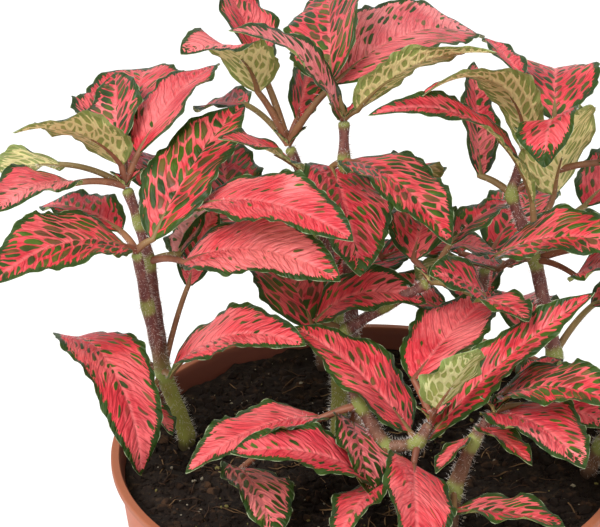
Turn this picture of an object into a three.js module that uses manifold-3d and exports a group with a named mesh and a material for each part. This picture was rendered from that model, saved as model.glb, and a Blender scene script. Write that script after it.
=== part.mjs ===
import * as THREE from 'three';
import { mergeVertices } from 'three/addons/utils/BufferGeometryUtils.js';
import Module from 'manifold-3d';

// A potted nerve plant, in millimetres, +Z up.
// The origin is the middle of the pot's underside, on the surface it stands on.

const wasm = await Module();
wasm.setup();

// Pot: a thin moulded cup with a narrow flat lip and a flat base.
const POT_HEIGHT = 100;
const LIP_RADIUS = 60;
const LIP_INNER_RADIUS = 58;
const LIP_THICKNESS = 1.8;
const LIP_ROUNDING = 0.4;
const WALL_TOP_RADIUS = 58.4;
const FOOT_RADIUS = 46.5;
const FOOT_BEVEL = 1.5;
const WALL = 1.1;
const BASE_THICKNESS = 1.6;
const POT_SIDES = 48;
const DRAIN_HOLES = 6;
const DRAIN_RADIUS = 4;
const DRAIN_CIRCLE = 30;
const DRAIN_SIDES = 12;
const DRAIN_CUT = 4 * BASE_THICKNESS;

// Soil: fills the pot to just under the lip, with a lumpy top that rises a little in the middle.
// Its lumps are a sum of waves, each a height, its rates along x and y, and a phase.
const GAP = 0.3;
const SOIL_LEVEL = 95;
const SOIL_SHOULDER = 93;
const SOIL_RISE = 1.2;
const SOIL_WAVES = [
  [0.45, 0.21, 0.19, 1.3],
  [0.45, 0.21, -0.19, 1.3],
  [0.54, -0.16, 0.37, 0],
  [0.36, 0.55, 0.41, 1.57],
];
const SOIL_RINGS = [12, 24, 35, 44, 51, 55];
const SOIL_SIDES = 36;

// Stems: round, thicker at the root, swollen at each node.
const ROOT_DEPTH = 9;
const STEM_FOOT = 98;
const STEM_ROOT_RADIUS = 2.1;
const STEM_TIP_RADIUS = 1.1;
const NODE_SWELL = 0.35;
const NODE_HALF_LENGTH = 2.2;
const STEM_SIDES = 6;
const HOLE_CLEARANCE = 0.6;

// Petioles: the leaf stalks, each in a low arch from a node to the foot of its blade. How far a
// node is from the foot counts less, by this share, where it lies behind it along the midrib.
const PETIOLE_FORWARD = 0.6;
const PETIOLE_RADIUS = 0.9;
const PETIOLE_ARCH = 0.16;
const PETIOLE_STEPS = 2;
const PETIOLE_SPOKES = [180, 120, 60, 0, -60, -120];

// Blades: arched, folded along the midrib, with a waved edge.
const BLADE_THICKNESS = 0.7;
const BLADE_STEPS = 6;
const FOLD = 11;
const FOOT_HALF_WIDTH = 0.9;
const TIP_HALF_WIDTH = 0.45;
const WIDEST = [0.62, 0.85];
const WAVE_HEIGHT = 1.1;
const FULL_WAVE_WIDTH = 16;
const WAVES = 2.4;
const GOLDEN = 0.618;
const SIDE_PHASE = 0.37;
const ARC_STEPS = 24;
const MERGE_DISTANCE = 1e-4;

// The leafy stems. A branch is a row of nodes, from the soil up: x, y, z.
// A leaf is the foot of its blade x, y, z, then in degrees its heading, rise at the foot and
// droop from foot to tip, then its length and width, then its roll and twist in degrees.
const STEMS = [
  {
    name: 'stem_left',
    branches: [
      [[-43, 9, 98], [-48, 8, 115], [-51, 6, 134], [-53, 4, 149]],
      [[-48, 8, 115], [-51, 14, 141], [-53, 15, 151], [-56, 17, 159]],
    ],
    leaves: [
      [-70, 10, 122, 302, 43, 143, 51, 19, -10, 0],
      [-46, 1, 118, 332, 62, 72, 43, 18, 15, 0],
      [-52, 5, 109, 300, 10, 40, 14, 8, -25, 0],
      [-55, 2, 151, 227, 38, 60, 42, 20, -15, 0],
      [-57, 10, 151, 132, 10, 40, 32, 14, -5, 0],
      [-49, 4, 152, 55, 50, 38, 41, 19, 0, 0],
      [-42, 6, 145, 329, 39, 60, 44, 20, 20, 0],
      [-68, 16, 160, 235, 32, 50, 30, 17, 0, 0],
      [-71, 20, 163, 141, -8, 30, 22, 14, 40, 0],
      [-57, 18, 164, 223, 60, 60, 36, 16, 30, 0],
      [-53, 20, 166, 58, 42, 50, 35, 19, -20, 0],
      [-58, 21, 167, 95, 25, 20, 27, 15, -30, 0],
      [-58, 26, 165, 108, 22, 50, 28, 18, 15, 0],
      [-57, 27, 164, 84, 33, 50, 36, 26, -10, 0],
      [-39, 9, 158, 323, 31, 50, 46, 20, 10, 0],
      [-44, 14, 143, 78, 13, 20, 24, 12, -30, 0],
      [-42, 14, 135, 60, 68, 40, 20, 9, 30, 0],
      [-52, 24, 155, 85, 15, 60, 32, 17, 0, 0],
    ],
  },
  {
    name: 'stem_rear_left',
    branches: [
      [[-6, 27, 98], [-8, 28, 120], [-13, 29, 142], [-15, 31, 151]],
      [[-8, 28, 120], [-11, 27, 145], [-19, 27, 165]],
    ],
    leaves: [
      [-29, 38, 170, 125, -10, 30, 24, 12, -10, 0],
      [-26, 30, 177, 228, 80, 90, 33, 17, 40, -60],
      [-25, 34, 180, 123, 60, 40, 31, 20, 30, 0],
      [-17, 30, 170, 80, 35, 40, 22, 10, 45, 0],
      [-16, 22, 161, 220, 47, 30, 28, 12, -5, 0],
      [-8, 28, 180, 43, 30, 66, 50, 26, 8, 0],
      [-6, 34, 140, 100, 25, 60, 36, 18, 0, 0],
      [-33, 34, 146, 100, 29, 30, 26, 18, 15, 0],
      [-8, 34, 136, 45, 20, 60, 34, 18, 0, 0],
      [-10, 36, 120, 95, 52, 60, 34, 17, 0, 0],
    ],
  },
  {
    name: 'stem_rear_middle',
    branches: [
      [[-2, 10, 98], [-4, 14, 120], [-5, 18, 150], [-6, 20, 164], [-6, 22, 174]],
    ],
    leaves: [
      [-7, 22, 174, 217, 74, 60, 44, 12, -60, 60],
      [-3, 22, 176, 330, 58, 52, 43, 12, -35, 0],
      [-9, 25, 182, 92, 35, 50, 42, 23, -40, 0],
      [-5, 18, 165, 307, 21, 60, 40, 19, -5, 0],
      [-9, 21, 162, 283, 4, 54, 34, 22, -20, 0],
      [4, 26, 157, 62, 5, 60, 28, 15, 0, 0],
      [3, 20, 139, 18, 22, 60, 31, 17, 0, 0],
    ],
  },
  {
    name: 'stem_rear_right',
    branches: [
      [[44, 6, 98], [43, 9, 120], [38, 12, 143], [32, 14, 159], [36, 18, 170]],
    ],
    leaves: [
      [37, 14, 157, 213, 76, 80, 60, 12, -15, 0],
      [25, 17, 162, 92, 41, 20, 32, 12, 40, 0],
      [35, 20, 167, 219, 95, 120, 46, 13, 30, 0],
      [34, 26, 183, 110, 11, 20, 22, 9, 20, 0],
      [42, 24, 173, 87, 31, 75, 36, 21, 0, 0],
      [41, 11, 178, 260, 50, 125, 20, 16, 25, 0],
      [42, 16, 158, 299, 86, 40, 30, 20, 5, 0],
      [29, 8, 146, 326, 43, 50, 40, 18, 15, 0],
      [47, 4, 143, 306, 51, 40, 22, 14, 25, 0],
      [52, 18, 165, 10, 35, 70, 40, 19, 0, 0],
      [50, 26, 150, 50, 25, 60, 38, 19, 0, 0],
      [56, 8, 148, 345, 30, 70, 38, 19, 0, 0],
      [30, 26, 133, 134, 2, 60, 30, 16, 20, 0],
      [52, 18, 128, 20, 20, 60, 36, 18, 0, 0],
      [38, 24, 116, 92, 20, 60, 31, 16, 0, 0],
    ],
  },
  {
    name: 'stem_centre',
    branches: [
      [[-7, 12, 98], [-7, 9, 115], [-6, 5, 128], [4, 3, 136], [14, 3, 142]],
    ],
    leaves: [
      [18, 2, 152, 51, 25, 40, 24, 10, -5, 0],
      [26, -2, 141, 218, 53, 40, 20, 12, -35, 0],
      [25, -4, 141, 301, 30, 40, 20, 12, -5, 0],
      [-13, 6, 128, 114, 40, 50, 30, 22, 5, 0],
      [-12, 6, 130, 351, 60, 90, 29, 14, 20, 0],
      [10, 8, 145, 80, 30, 60, 30, 16, 0, 0],
    ],
  },
  {
    name: 'stem_front',
    branches: [
      [[8, -22, 98], [4, -20, 112], [-2, -17, 121], [-5, -13, 127]],
      [[4, -20, 112], [11, -22, 114], [14, -20, 119]],
    ],
    leaves: [
      [-10, -16, 117, 223, 28, 50, 42, 16, 5, 0],
      [1, -30, 109, 203, 49, 50, 38, 15, -15, 0],
      [-29, -20, 106, 291, 24, 70, 26, 17, -20, 0],
      [-4, -14, 115, 281, 15, 60, 24, 17, -35, 0],
      [9, -18, 115, 151, 52, 40, 36, 19, 0, 0],
      [10, -14, 126, 55, 27, 30, 36, 19, -5, 0],
      [15, -26, 126, 325, 65, 10, 21, 15, -25, 0],
      [13, -20, 114, 3, 55, 20, 52, 15, 15, 0],
      [10, -26, 111, 271, 22, 70, 34, 19, -35, 0],
      [3, -28, 107, 247, 24, 50, 26, 13, 20, 0],
    ],
  },
  {
    name: 'stem_front_right',
    branches: [
      [[18, -31, 98], [19, -28, 106], [23, -26, 117], [28, -24, 124]],
    ],
    leaves: [
      [28, -21, 121, 306, 33, 60, 33, 20, -5, 0],
      [28, -17, 123, 321, 42, 50, 38, 17, 10, 0],
      [24, -24, 120, 306, 18, 40, 20, 9, -15, 0],
      [22, -26, 118, 238, 6, 30, 14, 7, 25, 0],
      [40, -16, 120, 335, 20, 50, 16, 10, 20, 0],
      [34, -13, 126, 51, 3, 20, 16, 9, -10, 0],
      [19, -34, 104, 334, 22, 30, 27, 16, -10, 0],
    ],
  },
  {
    name: 'stem_back',
    branches: [
      [[-11, 46, 98], [-12, 48, 104], [-16, 50, 116], [-18, 50, 126]],
    ],
    leaves: [
      [-14, 52, 114, 100, 20, 70, 36, 18, 0, 0],
      [-8, 48, 116, 46, 28, 60, 32, 17, 0, 0],
      [-22, 50, 126, 140, 35, 60, 32, 16, 0, 0],
      [-12, 52, 126, 85, 30, 60, 30, 16, 0, 0],
    ],
  },
  {
    name: 'stem_back_right',
    branches: [
      [[23, 40, 98], [24, 42, 104], [27, 44, 115], [28, 46, 124]],
    ],
    leaves: [
      [26, 46, 112, 93, 27, 70, 33, 17, -10, 0],
      [18, 42, 113, 150, 25, 60, 30, 15, 0, 0],
      [30, 50, 126, 60, 35, 60, 34, 17, 0, 0],
      [22, 48, 126, 115, 20, 60, 32, 16, 0, 0],
      [34, 42, 126, 20, 40, 60, 32, 16, 0, 0],
    ],
  },
  {
    name: 'stem_right',
    branches: [
      [[51, -4, 98], [54, -5, 104], [58, -6, 116], [60, -6, 126]],
    ],
    leaves: [
      [58, -10, 114, 320, 30, 70, 36, 18, 0, 0],
      [62, -2, 120, 30, 30, 60, 36, 18, 0, 0],
      [62, -8, 128, 350, 40, 60, 34, 17, 0, 0],
      [60, -2, 128, 70, 40, 60, 32, 16, 0, 0],
    ],
  },
];

// A closed body from a list of points and triangles, turned so that its faces point out.
function closedBody(points, triangles) {
  let volume = 0;
  for (const [a, b, c] of triangles) {
    const ab = new THREE.Vector3().crossVectors(points[a], points[b]);
    volume += ab.dot(points[c]);
  }
  const faces = volume < 0 ? triangles.map(([a, b, c]) => [a, c, b]) : triangles;
  const vertProperties = new Float32Array(points.flatMap((p) => [p.x, p.y, p.z]));
  const triVerts = new Uint32Array(faces.flat());
  return new wasm.Manifold(new wasm.Mesh({ numProp: 3, vertProperties, triVerts }));
}

// A closed body from a three.js geometry, its seams and poles merged.
function bodyFromGeometry(geometry) {
  geometry.deleteAttribute('normal');
  geometry.deleteAttribute('uv');
  const merged = mergeVertices(geometry, MERGE_DISTANCE);
  const position = merged.getAttribute('position');
  const index = merged.getIndex().array;
  const points = [];
  for (let i = 0; i < position.count; i += 1) {
    points.push(new THREE.Vector3().fromBufferAttribute(position, i));
  }
  const triangles = [];
  for (let i = 0; i < index.length; i += 3) {
    const [a, b, c] = [index[i], index[i + 1], index[i + 2]];
    if (a !== b && b !== c && c !== a) {
      triangles.push([a, b, c]);
    }
  }
  return closedBody(points, triangles);
}

// The outer skin of the largest piece, so that a sealed hollow is filled and a scrap dropped.
function largestPiece(body) {
  const { vertProperties, triVerts } = body.getMesh();
  const rounded = new wasm.Manifold(new wasm.Mesh({ numProp: 3, vertProperties, triVerts }));
  const pieces = rounded.decompose();
  return pieces.reduce((best, piece) => (piece.volume() > best.volume() ? piece : best));
}

function namedMesh(name, body, material) {
  const { vertProperties, triVerts } = body.getMesh();
  const geometry = new THREE.BufferGeometry();
  geometry.setAttribute('position', new THREE.BufferAttribute(vertProperties, 3));
  geometry.setIndex(new THREE.BufferAttribute(triVerts, 1));
  geometry.computeVertexNormals();
  const mesh = new THREE.Mesh(geometry, material);
  mesh.name = name;
  return mesh;
}

// The wall's outer radius at a height above the underside.
function wallRadius(z) {
  return FOOT_RADIUS + (WALL_TOP_RADIUS - FOOT_RADIUS) * (z / (POT_HEIGHT - LIP_THICKNESS));
}

function potBody() {
  const lipBottom = POT_HEIGHT - LIP_THICKNESS;
  const profile = [
    [0, 0],
    [FOOT_RADIUS - FOOT_BEVEL, 0],
    [wallRadius(FOOT_BEVEL), FOOT_BEVEL],
    [WALL_TOP_RADIUS, lipBottom],
    [LIP_RADIUS - LIP_ROUNDING, lipBottom],
    [LIP_RADIUS, lipBottom + LIP_ROUNDING],
    [LIP_RADIUS, POT_HEIGHT - LIP_ROUNDING],
    [LIP_RADIUS - LIP_ROUNDING, POT_HEIGHT],
    [LIP_INNER_RADIUS, POT_HEIGHT],
    [WALL_TOP_RADIUS - WALL, lipBottom],
    [wallRadius(BASE_THICKNESS) - WALL, BASE_THICKNESS],
    [0, BASE_THICKNESS],
  ].map(([r, z]) => new THREE.Vector2(r, z));
  let pot = bodyFromGeometry(new THREE.LatheGeometry(profile, POT_SIDES).rotateX(Math.PI / 2));
  for (let i = 0; i < DRAIN_HOLES; i += 1) {
    const angle = (2 * Math.PI * (i + 0.5)) / DRAIN_HOLES;
    const hole = new THREE.CylinderGeometry(DRAIN_RADIUS, DRAIN_RADIUS, DRAIN_CUT, DRAIN_SIDES);
    hole.rotateX(Math.PI / 2);
    hole.translate(DRAIN_CIRCLE * Math.cos(angle), DRAIN_CIRCLE * Math.sin(angle), 0);
    pot = pot.subtract(bodyFromGeometry(hole));
  }
  return pot;
}

// Height of the soil's top: the sum of the waves over a slight rise in the middle.
function soilTop(x, y) {
  let height = SOIL_LEVEL + SOIL_RISE * (1 - (x * x + y * y) / (LIP_RADIUS * LIP_RADIUS));
  for (const [lump, rateX, rateY, phase] of SOIL_WAVES) {
    height += lump * Math.sin(rateX * x + rateY * y + phase);
  }
  return height;
}

function soilBody() {
  const bottom = BASE_THICKNESS + GAP;
  const points = [new THREE.Vector3(0, 0, bottom), new THREE.Vector3(0, 0, soilTop(0, 0))];
  const ring = (radius, height) => {
    const first = points.length;
    for (let i = 0; i < SOIL_SIDES; i += 1) {
      const angle = (2 * Math.PI * i) / SOIL_SIDES;
      const [x, y] = [radius * Math.cos(angle), radius * Math.sin(angle)];
      points.push(new THREE.Vector3(x, y, height ?? soilTop(x, y)));
    }
    return first;
  };
  // The pot's wall is a ring of flats, so the soil keeps clear of the middle of each flat.
  const flat = Math.cos(Math.PI / POT_SIDES);
  const inside = (z) => (wallRadius(z) - WALL) * flat - GAP;
  const rings = [
    ring(inside(bottom), bottom),
    ring(inside(SOIL_SHOULDER), SOIL_SHOULDER),
    ...SOIL_RINGS.toReversed().map((radius) => ring(radius)),
  ];
  const triangles = [];
  for (let i = 0; i < SOIL_SIDES; i += 1) {
    const j = (i + 1) % SOIL_SIDES;
    triangles.push([0, rings[0] + j, rings[0] + i]);
    triangles.push([1, rings.at(-1) + i, rings.at(-1) + j]);
    for (let k = 0; k + 1 < rings.length; k += 1) {
      const [low, high] = [rings[k], rings[k + 1]];
      triangles.push([low + i, low + j, high + i], [low + j, high + j, high + i]);
    }
  }
  let soil = closedBody(points, triangles);
  for (const { branches } of STEMS) {
    soil = soil.subtract(stemHole(branches[0][0]));
  }
  return soil;
}

// A plain upright hole in the soil round a stem's root.
function stemHole([x, y, z]) {
  const radius = STEM_ROOT_RADIUS + HOLE_CLEARANCE;
  const depth = ROOT_DEPTH + GAP;
  const hole = new THREE.CylinderGeometry(radius, radius, 2 * depth, 2 * STEM_SIDES);
  return bodyFromGeometry(hole.rotateX(Math.PI / 2).translate(x, y, z));
}

// A closed tube through points, with a radius at each, its rings carried along without twist.
function tubeBody(path, radii, sides) {
  const points = [];
  const triangles = [];
  const tangents = path.map((_, i) => {
    const before = path[Math.max(i - 1, 0)];
    const after = path[Math.min(i + 1, path.length - 1)];
    return after.clone().sub(before).normalize();
  });
  let across = new THREE.Vector3(1, 0, 0);
  path.forEach((centre, i) => {
    across = across.projectOnPlane(tangents[i]).normalize();
    for (let k = 0; k < sides; k += 1) {
      const spoke = across.clone().applyAxisAngle(tangents[i], (2 * Math.PI * k) / sides);
      points.push(spoke.multiplyScalar(radii[i]).add(centre));
    }
  });
  const last = (path.length - 1) * sides;
  for (let k = 0; k < sides; k += 1) {
    const next = (k + 1) % sides;
    for (let i = 0; i + 1 < path.length; i += 1) {
      const [low, high] = [i * sides, (i + 1) * sides];
      triangles.push([low + k, low + next, high + k], [low + next, high + next, high + k]);
    }
    if (k > 0 && k + 1 < sides) {
      triangles.push([0, k + 1, k], [last, last + k, last + k + 1]);
    }
  }
  return closedBody(points, triangles);
}

// A branch: a tube with a swelling at each node, tapering upwards. The first goes down to the root.
function branchBody(nodes, isFirst) {
  const centres = nodes.map((node) => new THREE.Vector3(...node));
  const top = centres.at(-1).z;
  const taper = [STEM_ROOT_RADIUS, STEM_TIP_RADIUS];
  const thickness = (z) => THREE.MathUtils.mapLinear(z, STEM_FOOT, top, ...taper);
  const path = [];
  const radii = [];
  const addRing = (centre, extra) => {
    path.push(centre);
    radii.push(Math.min(thickness(centre.z), STEM_ROOT_RADIUS) + extra);
  };
  if (isFirst) {
    addRing(centres[0].clone().setZ(centres[0].z - ROOT_DEPTH), 0);
  }
  centres.forEach((centre, i) => {
    if (i > 0) {
      addRing(centre.clone().add(step(centre, centres[i - 1], NODE_HALF_LENGTH)), 0);
    }
    addRing(centre, i > 0 ? NODE_SWELL : 0);
    if (i > 0 && i + 1 < centres.length) {
      addRing(centre.clone().add(step(centre, centres[i + 1], NODE_HALF_LENGTH)), 0);
    }
  });
  return tubeBody(path, radii, STEM_SIDES);
}

// The vector of a given length from one point towards another.
function step(from, to, length) {
  return to.clone().sub(from).setLength(length);
}

// Directions along, across and out of a blade at t, from 0 at its foot to 1 at its tip.
function bladeFrame(leaf, t) {
  const [, , , heading, rise, droop, , , roll, twist] = leaf;
  const pitch = THREE.MathUtils.degToRad(rise - droop * t);
  const turn = THREE.MathUtils.degToRad(heading);
  const tilt = THREE.MathUtils.degToRad(roll + twist * t);
  const along = new THREE.Vector3(
    Math.cos(pitch) * Math.cos(turn),
    Math.cos(pitch) * Math.sin(turn),
    Math.sin(pitch),
  );
  const across = new THREE.Vector3(-Math.sin(turn), Math.cos(turn), 0).applyAxisAngle(along, tilt);
  const out = new THREE.Vector3().crossVectors(along, across);
  return { along, across, out };
}

// The midrib's point at t: short straight steps along the arc.
function midribPoint(leaf, t) {
  const point = new THREE.Vector3(leaf[0], leaf[1], leaf[2]);
  const length = leaf[6];
  for (let i = 0; i < ARC_STEPS; i += 1) {
    const { along } = bladeFrame(leaf, (t * (i + 0.5)) / ARC_STEPS);
    point.addScaledVector(along, (length * t) / ARC_STEPS);
  }
  return point;
}

// Half the blade's width at t: t to a power times (1 - t) to a power, 1 where widest.
function halfWidth(leaf, t) {
  const [a, b] = WIDEST;
  const peak = a / (a + b);
  const shape = (t ** a * (1 - t) ** b) / (peak ** a * (1 - peak) ** b);
  const least = THREE.MathUtils.lerp(FOOT_HALF_WIDTH, TIP_HALF_WIDTH, t);
  return Math.max((leaf[7] / 2) * shape, least);
}

// A point on the blade's middle surface: v is -1 or 1 at the edges and 0 at the midrib.
function bladePoint(leaf, phase, t, v) {
  const { across, out } = bladeFrame(leaf, t);
  const half = halfWidth(leaf, t);
  const fold = THREE.MathUtils.degToRad(FOLD);
  const side = v > 0 ? SIDE_PHASE : 0;
  const swing = Math.sin(2 * Math.PI * (WAVES * t + phase + side));
  const height = WAVE_HEIGHT * Math.min(1, leaf[7] / FULL_WAVE_WIDTH);
  const wave = height * swing * Math.sin(Math.PI * t) * v * v;
  return midribPoint(leaf, t)
    .addScaledVector(across, half * v * Math.cos(fold))
    .addScaledVector(out, half * Math.abs(v) * Math.sin(fold) + wave);
}

// A leaf: one loft of six-sided sections, round along the petiole and flat along the blade.
// Both faces of the blade have the same triangles, as its middle surface is moved out to each.
function leafBody(leaf, phase, node) {
  const sections = petioleSections(leaf, node);
  for (let i = 0; i <= BLADE_STEPS; i += 1) {
    const t = i / BLADE_STEPS;
    const { out } = bladeFrame(leaf, t);
    const upper = [-1, 0, 1].map((v) => bladePoint(leaf, phase, t, v));
    const lower = upper.map((point) => point.clone().addScaledVector(out, -BLADE_THICKNESS / 2));
    upper.forEach((point) => point.addScaledVector(out, BLADE_THICKNESS / 2));
    sections.push([...upper, ...lower.toReversed()]);
  }
  return loftBody(sections);
}

// The petiole's sections: from its node in a low arch to the blade's foot.
function petioleSections(leaf, node) {
  const foot = new THREE.Vector3(leaf[0], leaf[1], leaf[2]);
  const { across } = bladeFrame(leaf, 0);
  const crest = foot.clone().lerp(node, 0.5);
  crest.z += PETIOLE_ARCH * node.distanceTo(foot);
  const curve = new THREE.QuadraticBezierCurve3(node, crest, foot);
  const sections = [];
  for (let i = 0; i < PETIOLE_STEPS; i += 1) {
    const t = i / PETIOLE_STEPS;
    const tangent = curve.getTangent(t);
    const side = across.clone().projectOnPlane(tangent).setLength(PETIOLE_RADIUS);
    sections.push(PETIOLE_SPOKES.map((degrees) => {
      const spoke = side.clone().applyAxisAngle(tangent, THREE.MathUtils.degToRad(degrees));
      return spoke.add(curve.getPoint(t));
    }));
  }
  return sections;
}

// A closed body through six-sided sections, with flat ends.
function loftBody(sections) {
  const points = sections.flat();
  const triangles = [];
  const sides = sections[0].length;
  for (let i = 0; i + 1 < sections.length; i += 1) {
    for (let k = 0; k < sides; k += 1) {
      const next = (k + 1) % sides;
      const [a, b] = [i * sides + k, i * sides + next];
      const [c, d] = [a + sides, b + sides];
      // The lower face takes the other diagonal, so that it lies under the same one on the upper.
      const isLower = k === 3 || k === 4;
      triangles.push(...(isLower ? [[a, b, c], [b, d, c]] : [[a, d, c], [a, b, d]]));
    }
  }
  const last = (sections.length - 1) * sides;
  triangles.push([0, 5, 1], [1, 5, 4], [1, 4, 2], [2, 4, 3]);
  triangles.push([last, last + 1, last + 5], [last + 1, last + 4, last + 5]);
  triangles.push([last + 1, last + 2, last + 4], [last + 2, last + 3, last + 4]);
  return closedBody(points, triangles);
}

// The node that a leaf's petiole grows from, above the soil: near its foot, and behind it
// along the midrib, so that the petiole runs on into the blade.
function petioleNode(branches, leaf) {
  const foot = new THREE.Vector3(leaf[0], leaf[1], leaf[2]);
  const { along } = bladeFrame(leaf, 0);
  const nodes = branches.flatMap((nodesOfBranch) => nodesOfBranch.slice(1));
  const detour = (node) => {
    const span = foot.clone().sub(node);
    return span.length() - PETIOLE_FORWARD * span.dot(along);
  };
  const centres = nodes.map((node) => new THREE.Vector3(...node));
  return centres.reduce((best, centre) => (detour(centre) < detour(best) ? centre : best));
}

// One leafy stem: its branches, petioles and blades fused into one body.
function leafyStemBody({ branches, leaves }, firstPhase) {
  let body = branchBody(branches[0], true);
  for (const branch of branches.slice(1)) {
    body = body.add(branchBody(branch, false));
  }
  leaves.forEach((leaf, i) => {
    const phase = (GOLDEN * (firstPhase + i)) % 1;
    body = body.add(leafBody(leaf, phase, petioleNode(branches, leaf)));
  });
  return largestPiece(body);
}

function terracottaPlastic() {
  return new THREE.MeshStandardMaterial({ color: 0xc4714f, roughness: 0.55, metalness: 0 });
}

function peat() {
  return new THREE.MeshStandardMaterial({ color: 0x1c1310, roughness: 0.95, metalness: 0 });
}

function redLeaf() {
  return new THREE.MeshStandardMaterial({ color: 0xe2525a, roughness: 0.5, metalness: 0 });
}

function pottedPlant() {
  const plant = new THREE.Group();
  plant.add(namedMesh('pot', potBody(), terracottaPlastic()));
  plant.add(namedMesh('soil', soilBody(), peat()));
  let firstPhase = 0;
  for (const stem of STEMS) {
    plant.add(namedMesh(stem.name, leafyStemBody(stem, firstPhase), redLeaf()));
    firstPhase += stem.leaves.length;
  }
  return plant;
}

export default pottedPlant();
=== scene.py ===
import itertools
import math
from collections import namedtuple

import bpy
import numpy as np
from mathutils import Matrix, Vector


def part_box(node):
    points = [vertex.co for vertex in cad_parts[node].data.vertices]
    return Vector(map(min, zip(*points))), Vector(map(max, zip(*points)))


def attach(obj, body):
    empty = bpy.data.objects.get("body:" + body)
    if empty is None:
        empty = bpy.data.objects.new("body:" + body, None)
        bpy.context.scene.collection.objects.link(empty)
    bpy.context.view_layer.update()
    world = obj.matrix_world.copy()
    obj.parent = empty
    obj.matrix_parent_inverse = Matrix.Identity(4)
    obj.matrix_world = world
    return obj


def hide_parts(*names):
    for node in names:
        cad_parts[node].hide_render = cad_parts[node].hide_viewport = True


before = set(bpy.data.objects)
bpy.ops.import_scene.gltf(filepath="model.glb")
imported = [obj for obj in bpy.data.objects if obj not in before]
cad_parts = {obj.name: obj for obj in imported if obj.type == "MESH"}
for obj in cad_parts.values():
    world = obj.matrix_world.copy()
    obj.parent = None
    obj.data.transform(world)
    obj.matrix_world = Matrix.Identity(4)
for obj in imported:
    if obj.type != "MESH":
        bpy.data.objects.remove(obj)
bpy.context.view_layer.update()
scene = bpy.context.scene


# Pot
# A thin cup of terracotta coloured plastic, moulded in one piece: a tapered wall, a narrow flat lip
# turned outwards, and a flat base with a ring of drain holes. Its skin has a faint satin grain.
_, pot_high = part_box("pot")
POT_HEIGHT = pot_high[2]
LIP_RADIUS = pot_high[0]
LIP_WIDTH = 0.002
LIP_INNER_RADIUS = LIP_RADIUS - LIP_WIDTH
LIP_THICKNESS = 0.0018
LIP_ROUNDING = 0.0004
LIP_CHAMFER = 0.0002
FILLET_WIDTH = 0.0003
FILLET_DROP = 0.0004
LIP_OVERHANG = 0.0016
WALL_TOP_RADIUS = LIP_RADIUS - LIP_OVERHANG
FOOT_RADIUS = 0.0465
FOOT_BEVEL = 0.0015
WALL = 0.0011
BASE_THICKNESS = 0.0016
LOWEST_WALL_RING = 0.01
NECK_DEPTH = 0.006
POT_SIDES = 192
DRAIN_HOLES = 6
DRAIN_RADIUS = 0.004
DRAIN_CIRCLE = 0.030
DRAIN_SIDES = 24
DRILL_BOTTOM = -0.004
DRILL_TOP = 0.005
SHADE_BLEND = 0.0002
POT_WALL_COLOUR = (0.42, 0.115, 0.053, 1)
POT_LIP_SHADE_COLOUR = (0.33, 0.105, 0.052, 1)
POT_FADED_COLOUR = (0.47, 0.155, 0.08, 1)
POT_INSIDE_SHADE_COLOUR = (0.15, 0.042, 0.026, 1)


def put(tree, kind, inputs=None, **settings):
    """A shader node. inputs gives, by name or number, a socket to link or a value to set."""
    node = tree.nodes.new("ShaderNode" + kind)
    for key, value in settings.items():
        setattr(node, key, value)
    for key, value in (inputs or {}).items():
        if isinstance(value, bpy.types.NodeSocket):
            tree.links.new(value, node.inputs[key])
        else:
            node.inputs[key].default_value = value
    return node


def calc(tree, operation, *values):
    """The result of a Math node."""
    return put(tree, "Math", dict(enumerate(values)), operation=operation).outputs[0]


def times(tree, value, factor):
    """value times factor."""
    return calc(tree, "MULTIPLY", value, factor)


def linear(tree, value, slope, offset):
    """value times slope, plus offset."""
    return calc(tree, "MULTIPLY_ADD", value, slope, offset)


def ramp(tree, value, low, high, start=0.0, end=1.0):
    """start where value is under low, end where it is over high, and a smooth step between."""
    inputs = dict(enumerate((value, low, high, start, end)))
    return put(tree, "MapRange", inputs, interpolation_type="SMOOTHSTEP").outputs[0]


def mixed(tree, factor, first, second):
    """first where factor is 0, second where it is 1."""
    inputs = {0: factor, 6: first, 7: second}
    return put(tree, "Mix", inputs, data_type="RGBA").outputs[2]


def noise(tree, scale, detail, where=None):
    """Noise over the object's own coordinates in metres, or over where."""
    if where is None:
        where = put(tree, "TexCoord").outputs["Object"]
    return put(tree, "TexNoise", {"Vector": where, "Scale": scale, "Detail": detail}).outputs[0]


def material(name, roughness, specular, colour=(0.8, 0.8, 0.8, 1)):
    """A material with one Principled BSDF: (material, its tree, the BSDF)."""
    made = bpy.data.materials.new(name)
    made.use_nodes = True
    shader = made.node_tree.nodes["Principled BSDF"]
    shader.inputs["Roughness"].default_value = roughness
    shader.inputs["Specular IOR Level"].default_value = specular
    shader.inputs["Base Color"].default_value = colour
    return made, made.node_tree, shader


def paint(tree, shader, colour, relief=None, strength=0.0, depth=0.0):
    """Gives a surface its colour and, from a relief of 0 to 1, a bump of that depth in metres."""
    tree.links.new(colour, shader.inputs["Base Color"])
    if relief is not None:
        inputs = {"Strength": strength, "Distance": depth, "Height": relief}
        tree.links.new(put(tree, "Bump", inputs).outputs[0], shader.inputs["Normal"])


def vectors(*parts):
    """Vectors from arrays of their parts."""
    return np.stack(parts, axis=-1)


def unit(directions):
    """The same directions with length 1."""
    return directions / np.linalg.norm(directions, axis=-1, keepdims=True)


def grid_triangles(rows, columns, wrap=False):
    """The triangles of a grid of points, row by row. wrap joins the last column to the first."""
    index = np.arange(rows * columns).reshape(rows, columns)
    right = np.roll(index, -1, axis=1) if wrap else index[:, 1:]
    left = index if wrap else index[:, :-1]
    a, b, c, d = left[:-1], right[:-1], right[1:], left[1:]
    halves = np.stack([vectors(a, b, c), vectors(a, c, d)])
    return halves.reshape(-1, 3)


def added(name, data):
    """A new object in the scene."""
    made = bpy.data.objects.new(name, data)
    scene.collection.objects.link(made)
    return made


def copies_of(triangles, count, points):
    """The same triangles again and again, each time over the next so many points."""
    return (triangles[None] + points * np.arange(count)[:, None, None]).reshape(-1, 3)


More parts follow.
